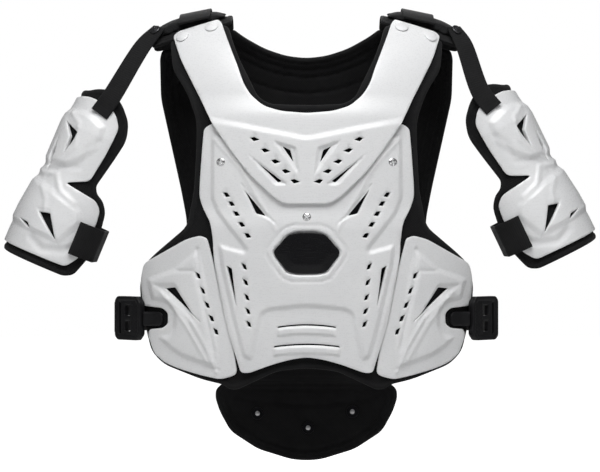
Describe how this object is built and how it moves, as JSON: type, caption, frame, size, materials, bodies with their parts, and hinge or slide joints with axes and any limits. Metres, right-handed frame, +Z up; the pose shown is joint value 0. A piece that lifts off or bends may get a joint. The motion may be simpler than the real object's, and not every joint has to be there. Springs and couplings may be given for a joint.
{
  "type": "chest and back protector",
  "caption": "Hard-shelled chest and back protector with arm guards: layered white plastic plates with vents over black foam liners, padded shoulders, webbing and waist buckles, held up as worn.",
  "frame": {"origin": "midway between the undersides of the two shoulder pads, where the shoulders carry it", "axes": "+Z up, -Y out of the wearer's chest, +X towards the viewer's right as seen from the front"},
  "size_m": [0.7406, 0.2648, 0.5736],
  "materials": {
    "white_plastic": "satin",
    "foam": "matte",
    "fabric": "matte",
    "webbing": "matte",
    "black_plastic": "satin",
    "steel": "polished",
    "dark_metal": "satin"
  },
  "bodies": {
    "root": {"front_liner": "foam", "chest_plate": "white_plastic", "abdomen_plate": "white_plastic", "front_insert": "black_plastic", "side_plate_left": "white_plastic", "side_plate_right": "white_plastic", "back_liner": "foam", "back_plate": "white_plastic", "tail_pad": "foam", "tail_plate": "white_plastic", "snap_cap_left_1": "white_plastic", "snap_cap_left_2": "white_plastic", "snap_cap_right_1": "white_plastic", "snap_cap_right_2": "white_plastic", "screw_1": "steel", "screw_2": "steel", "screw_3": "steel", "tail_rivet_1": "dark_metal", "tail_rivet_2": "dark_metal", "tail_rivet_3": "dark_metal", "shoulder_pad_left": "fabric", "shoulder_bridge_left": "webbing", "shoulder_pad_right": "fabric", "shoulder_bridge_right": "webbing", "arm_liner_left": "foam", "arm_shell_left": "white_plastic", "arm_band_left": "webbing", "arm_strap_left": "webbing", "arm_snap_left": "dark_metal", "waist_tongue_left": "black_plastic", "waist_buckle_left": "black_plastic", "waist_strap_left": "webbing", "arm_liner_right": "foam", "arm_shell_right": "white_plastic", "arm_band_right": "webbing", "arm_strap_right": "webbing", "arm_snap_right": "dark_metal", "waist_tongue_right": "black_plastic", "waist_buckle_right": "black_plastic", "waist_strap_right": "webbing"}
  },
  "joints": []
}
